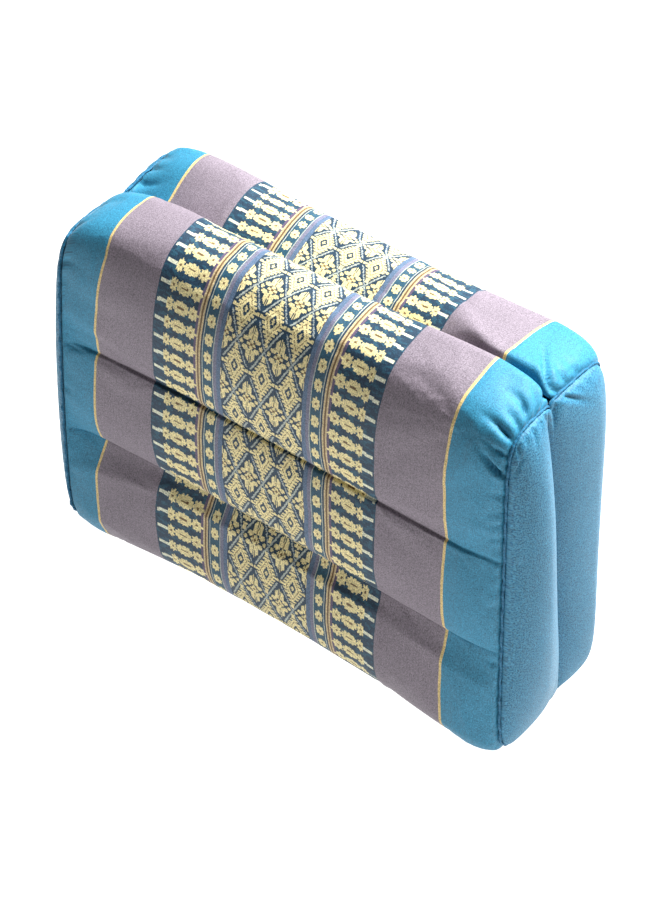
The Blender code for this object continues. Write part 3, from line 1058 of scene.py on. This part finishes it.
# Pitch and half width of the comb's teeth, the outline's ladder and the fan's fingers
TEETH = (2.67, 0.85)
LADDER = (1.7, 0.55)
LADDER_SLANT = 0.5
FINGERS = (1.45, 0.5)

# The fan at a crossing of the lattice, and the gap that the outline leaves there
FAN_WIDTH = 3.4
FAN_START = 3.4
FAN_SLANT = 1.1
FAN_END = 13.0
FAN_SOLID = 7.5
HEART = (3.6, 3.8)
OUTLINE_GAP = 2.9

# Small round parts of the pattern: place, and half sizes
Spot = namedtuple("Spot", "u v width height")
TIPS = (Spot(0.0, 15.6, 1.5, 1.5), Spot(8.9, 0.0, 1.2, 1.3))
PETALS = (Spot(4.4, 3.1, 2.1, 1.7), Spot(7.4, 0.0, 1.3, 1.4))
VEINS = (Spot(0.0, 0.0, 0.8, 1.1), Spot(1.9, 1.3, 0.7, 0.6), Spot(0.0, 5.2, 0.5, 1.6))
ROW_EYES = (Spot(55.3, 0.0, 0.95, 0.9), Spot(74.6, 0.0, 0.8, 0.8))
ROW_BUD = (Spot(51.3, 0.0, 1.1, 0.9),)
BEAD_EYE = (Spot(41.0, 0.0, 0.75, 0.9),)

# Flowers with petals: place, half sizes, number of petals and how deep they are cut
Bloom = namedtuple("Bloom", "u width height petals depth")
BEAD = Bloom(41.0, 2.9, 4.4, 8, 0.12)
ROW_BLOOMS = (
    Bloom(55.3, 3.9, 4.5, 8, 0.14),
    Bloom(65.4, 6.4, 4.5, 12, 0.09),
    Bloom(74.6, 2.9, 4.5, 8, 0.16),
)

# The straight parts of a row of flowers: start, end and half width
Bar = namedtuple("Bar", "start end half")
TAIL = Bar(76.8, 85.0, 1.3)
LINKS = Bar(59.0, 73.0, 0.9)
DASH = Bar(62.4, 68.4, 0.6)

# How far the beads and the rows of flowers are out of step with the lattice, and the rows' slant
LEFT_BEADS = -7.9
RIGHT_BEADS = -3.2
LEFT_ROWS = -0.5 * ROW_PITCH
ROW_SLANT = 0.05


def any_of(masks):
    """1 where any of the masks is."""
    found = masks[0]
    for mask in masks[1:]:
        found = found | mask
    return found


def spots(u, v, table):
    """1 inside any of the table's ellipses."""
    found = []
    for spot in table:
        across = (u - spot.u) / spot.width
        up = (v - spot.v) / spot.height
        found.append(across * across + up * up < 1.0)
    return any_of(found)


def flower(u, v, bloom):
    """1 inside a round flower whose edge has petals."""
    x = (u - bloom.u) * (1 / bloom.width)
    y = v * (1 / bloom.height)
    turned = y.math("ARCTAN2", x) * float(bloom.petals)
    edge = turned.math("COSINE") * bloom.depth + 1.0
    return (x * x + y * y).math("SQRT") < edge


def bar(u, v, part):
    """1 inside a straight part of a row."""
    return u.between(part.start, part.end) & (abs(v) < part.half)


def comb(place, teeth):
    """1 on the teeth of a comb along that place."""
    pitch, half = teeth
    return abs(place.wrapped(pitch)) < half


def diamond(across, up, width, height):
    """Distance from the middle of a diamond, 1 on its outline."""
    return across * (1 / width) + up * (1 / height)


def lattice(u, v):
    """The lattice of the middle: its colours over the dark ground."""
    across = u.wrapped(2 * CELL_WIDTH)
    up = (v - CELL_PHASE).wrapped(2 * CELL_HEIGHT)
    p = abs(across)
    q = abs(up)
    ring = diamond(p, q, CELL_WIDTH, CELL_HEIGHT)
    outside = ring > 1.0
    inside = outside.opposite()
    falling = across * up > 0.0
    combs = ring.between(*COMB_BAND) & comb(up, TEETH)
    cream = (ring < CORE) | ring.between(*RING_BAND) | combs | spots(p, q, TIPS)
    brown = ring.between(*RING_THREAD)
    fp = p * -1.0 + CELL_WIDTH
    fq = q * -1.0 + CELL_HEIGHT
    fingers = comb(fp, FINGERS) | (fq < FAN_SOLID)
    fan = (fp < FAN_WIDTH) & (fq > FAN_START) & (fq + fp * FAN_SLANT < FAN_END) & fingers
    heart = diamond(fp, fq, *HEART) < 1.0
    crossing = fan | spots(fp, fq, PETALS) | heart
    line = (abs(ring - 1.0) < OUTLINE_HALF) & (q > OUTLINE_GAP)
    ladder = comb(up + across * LADDER_SLANT, LADDER)
    paint = Paint(u.tree, NAVY)
    paint.over(CREAM, (cream & inside) | (crossing & outside))
    paint.over(BROWN, (brown & inside) | (spots(fp, fq, VEINS) & outside))
    paint.over(PALE, line & (falling.opposite() | ladder))
    paint.over(STEEL, line & falling & ladder.opposite())
    return paint


def row_flowers(a, w):
    """One of the rows that run outward: a small flower, a long one, a small one and a tail."""
    blooms = any_of([flower(a, w, bloom) for bloom in ROW_BLOOMS])
    cream = blooms | spots(a, w, ROW_BUD) | bar(a, w, LINKS)
    return cream, bar(a, w, TAIL), spots(a, w, ROW_EYES) | bar(a, w, DASH)


def make_wrap_cloth():
    """The wrap's cloth, painted from its outer fields in to the lattice."""
    cloth, shader, u, v = new_cloth("wrap_cloth")
    tree = cloth.node_tree
    us = (u + speckled(u, v, U_SWAY)).stepped(THREAD)
    vs = (v + speckled(u, v, V_SWAY)).stepped(PICK)
    right = us > 0.0
    a = abs(us)

    shift = right * (RIGHT_BEADS - LEFT_BEADS) + LEFT_BEADS
    beads = (vs - CELL_PHASE + shift).wrapped(ROW_PITCH)
    shift = right * -LEFT_ROWS + LEFT_ROWS
    rows = (vs - CELL_PHASE + shift + (a - ROWS_START) * ROW_SLANT).wrapped(ROW_PITCH)
    cream, tail, marks = row_flowers(a, rows)

    paint = Paint(tree, MAUVE)
    paint.over(BROWN, abs(a - YELLOW_LINE) < SHADOW_HALF)
    paint.over(YELLOW, abs(a - YELLOW_LINE) < YELLOW_HALF)
    paint.over(BLUE, a > BLUE_START)
    paint.over(TEAL, a < PATTERN_EDGE)
    paint.over(NAVY, a.between(ROWS_START, PATTERN_EDGE) & (speckled(u, v, DARK_GROUND) > 0.0))
    paint.over(PLUM, a.between(GOLD_END, PLUM_END))
    paint.over(CREAM, cream)
    paint.over(IVORY, tail)
    paint.over(BROWN, marks)
    paint.over(TAN, a.between(GOLD_START, GOLD_END))
    paint.over(BROWN, a.between(*GOLD_THREAD))
    paint.over(NAVY, a.between(OUTER_LINE, GOLD_START))
    paint.over(PALE, a.between(FLOWER_BAND, OUTER_LINE) | a.between(INNER_BAND, INNER_LINE))
    paint.over(CREAM, flower(a, beads, BEAD))
    paint.over(BROWN, spots(a, beads, BEAD_EYE))
    paint.over(LILAC, a < INNER_BAND)
    paint.over(STEEL, a < BLUE_EDGE)
    paint.over(lattice(us, vs), a < LATTICE_EDGE)
    finish_cloth(paint, shader, u, v, WRAP_WEAVE)
    return cloth


def finish_cloth(paint, shader, u, v, weave):
    """Lightens and darkens the yarns from place to place, and adds weave, roughness and sheen."""
    tree = u.tree
    light = speckled(u, v, GRAIN) + 1.0
    for speckle in (SLUB, STREAK, WEAR):
        light = light + speckled(u, v, speckle)
    paint.shaded(light)
    tree.links.new(paint.socket, shader.inputs["Base Color"])
    threads = u.sine(weave.thread) * v.sine(weave.pick) * 0.5 + u.sine(weave.thread) * 0.5
    height = threads * WEAVE_HEIGHT + speckled(u, v, FUZZ)
    bump = tree.nodes.new("ShaderNodeBump")
    bump.inputs["Strength"].default_value = BUMP_STRENGTH
    bump.inputs["Distance"].default_value = weave.depth / 1000
    tree.links.new(height.socket, bump.inputs["Height"])
    tree.links.new(bump.outputs[0], shader.inputs["Normal"])
    rough = speckled(u, v, ROUGH) + LEAST_ROUGHNESS
    tree.links.new(rough.socket, shader.inputs["Roughness"])
    shader.inputs["Sheen Weight"].default_value = SHEEN
    shader.inputs["Sheen Roughness"].default_value = SHEEN_ROUGHNESS
    shader.inputs["Specular IOR Level"].default_value = SHINE


def make_plain_cloth(name, colour):
    """Cloth of one colour with darker yarns in it."""
    cloth, shader, u, v = new_cloth(name)
    paint = Paint(cloth.node_tree, colour)
    paint.over(DEEP_BLUE, speckled(u, v, DEEP_YARNS) > 0.0)
    finish_cloth(paint, shader, u, v, PLAIN_WEAVE)
    return cloth


def make_floor():
    """Plain pale floor that glows a little and so lights the block from below."""
    mesh = bpy.data.meshes.new("floor")
    corners = [(x * FLOOR_HALF, y * FLOOR_HALF, 0) for x, y in ((-1, -1), (1, -1), (1, 1), (-1, 1))]
    mesh.from_pydata(corners, [], [(0, 1, 2, 3)])
    floor = bpy.data.objects.new("floor", mesh)
    bpy.context.scene.collection.objects.link(floor)
    paper = bpy.data.materials.new("floor")
    paper.use_nodes = True
    shader = paper.node_tree.nodes["Principled BSDF"]
    shader.inputs["Base Color"].default_value = (FLOOR_GREY, FLOOR_GREY, FLOOR_GREY, 1.0)
    shader.inputs["Roughness"].default_value = FLOOR_ROUGHNESS
    shader.inputs["Specular IOR Level"].default_value = 0.0
    shader.inputs["Emission Color"].default_value = WHITE
    shader.inputs["Emission Strength"].default_value = FLOOR_GLOW
    mesh.materials.append(paper)


def make_key():
    """Soft square light."""
    data = bpy.data.lights.new("key", "AREA")
    data.size = KEY_SIZE
    data.energy = KEY_POWER
    light = bpy.data.objects.new("key", data)
    light.location = KEY_PLACE
    light.rotation_euler = (Vector(KEY_AIM) - Vector(KEY_PLACE)).to_track_quat("-Z", "Y").to_euler()
    bpy.context.scene.collection.objects.link(light)


def make_studio():
    """Floor, light and sky, with colours shown as they are."""
    make_floor()
    make_key()
    world = bpy.data.worlds.new("studio")
    world.use_nodes = True
    background = world.node_tree.nodes["Background"]
    background.inputs["Color"].default_value = WHITE
    background.inputs["Strength"].default_value = SKY
    scene = bpy.context.scene
    scene.world = world
    scene.view_settings.view_transform = "Standard"
    scene.view_settings.look = "None"
    scene.view_settings.exposure = 0.0


def make_camera():
    """Camera where the photo's stood."""
    data = bpy.data.cameras.new("camera")
    data.lens = CAMERA_LENS
    data.sensor_width = CAMERA_SENSOR
    data.clip_start = CAMERA_CLIP
    camera = bpy.data.objects.new("camera", data)
    camera.location = CAMERA_PLACE
    turned = Euler((math.radians(90 - CAMERA_ELEVATION), 0, math.radians(CAMERA_AZIMUTH)))
    rolled = Matrix.Rotation(math.radians(CAMERA_ROLL), 3, "Z")
    camera.rotation_euler = (turned.to_matrix() @ rolled).to_euler()
    bpy.context.scene.collection.objects.link(camera)
    bpy.context.scene.camera = camera


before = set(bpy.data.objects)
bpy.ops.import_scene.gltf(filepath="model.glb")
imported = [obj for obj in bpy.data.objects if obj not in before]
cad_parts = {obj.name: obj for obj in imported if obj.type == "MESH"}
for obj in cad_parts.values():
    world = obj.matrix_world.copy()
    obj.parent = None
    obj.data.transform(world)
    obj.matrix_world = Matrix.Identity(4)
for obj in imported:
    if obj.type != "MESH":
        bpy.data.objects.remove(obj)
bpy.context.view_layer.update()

wrap_cloth = make_wrap_cloth()
# The end panels' cloth: its greyer blue carries painted sheen
end_cloth = make_plain_cloth("end_cloth", END_BLUE_WITH_SHEEN)
# The seam rolls' cloth: its darker blue is the seam's own blue plus painted shade
seam_cloth = make_plain_cloth("seam_cloth", SHADED_SEAM_BLUE)

wrap = make_wrap(wrap_cloth)
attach(wrap, "root")
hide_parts("cushion_body")

for name, side in (("left", -1), ("right", 1)):
    panel = make_panel(f"panel_{name}", side, end_cloth)
    roll = make_edge_seam(f"roll_{name}", side, seam_cloth)
    for piece, node, slot in (
        (panel, f"end_panel_{name}", "end_cloth"),
        (roll, f"edge_seam_{name}", "seam_cloth"),
    ):
        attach(piece, "root")
        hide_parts(node)

make_studio()
make_camera()
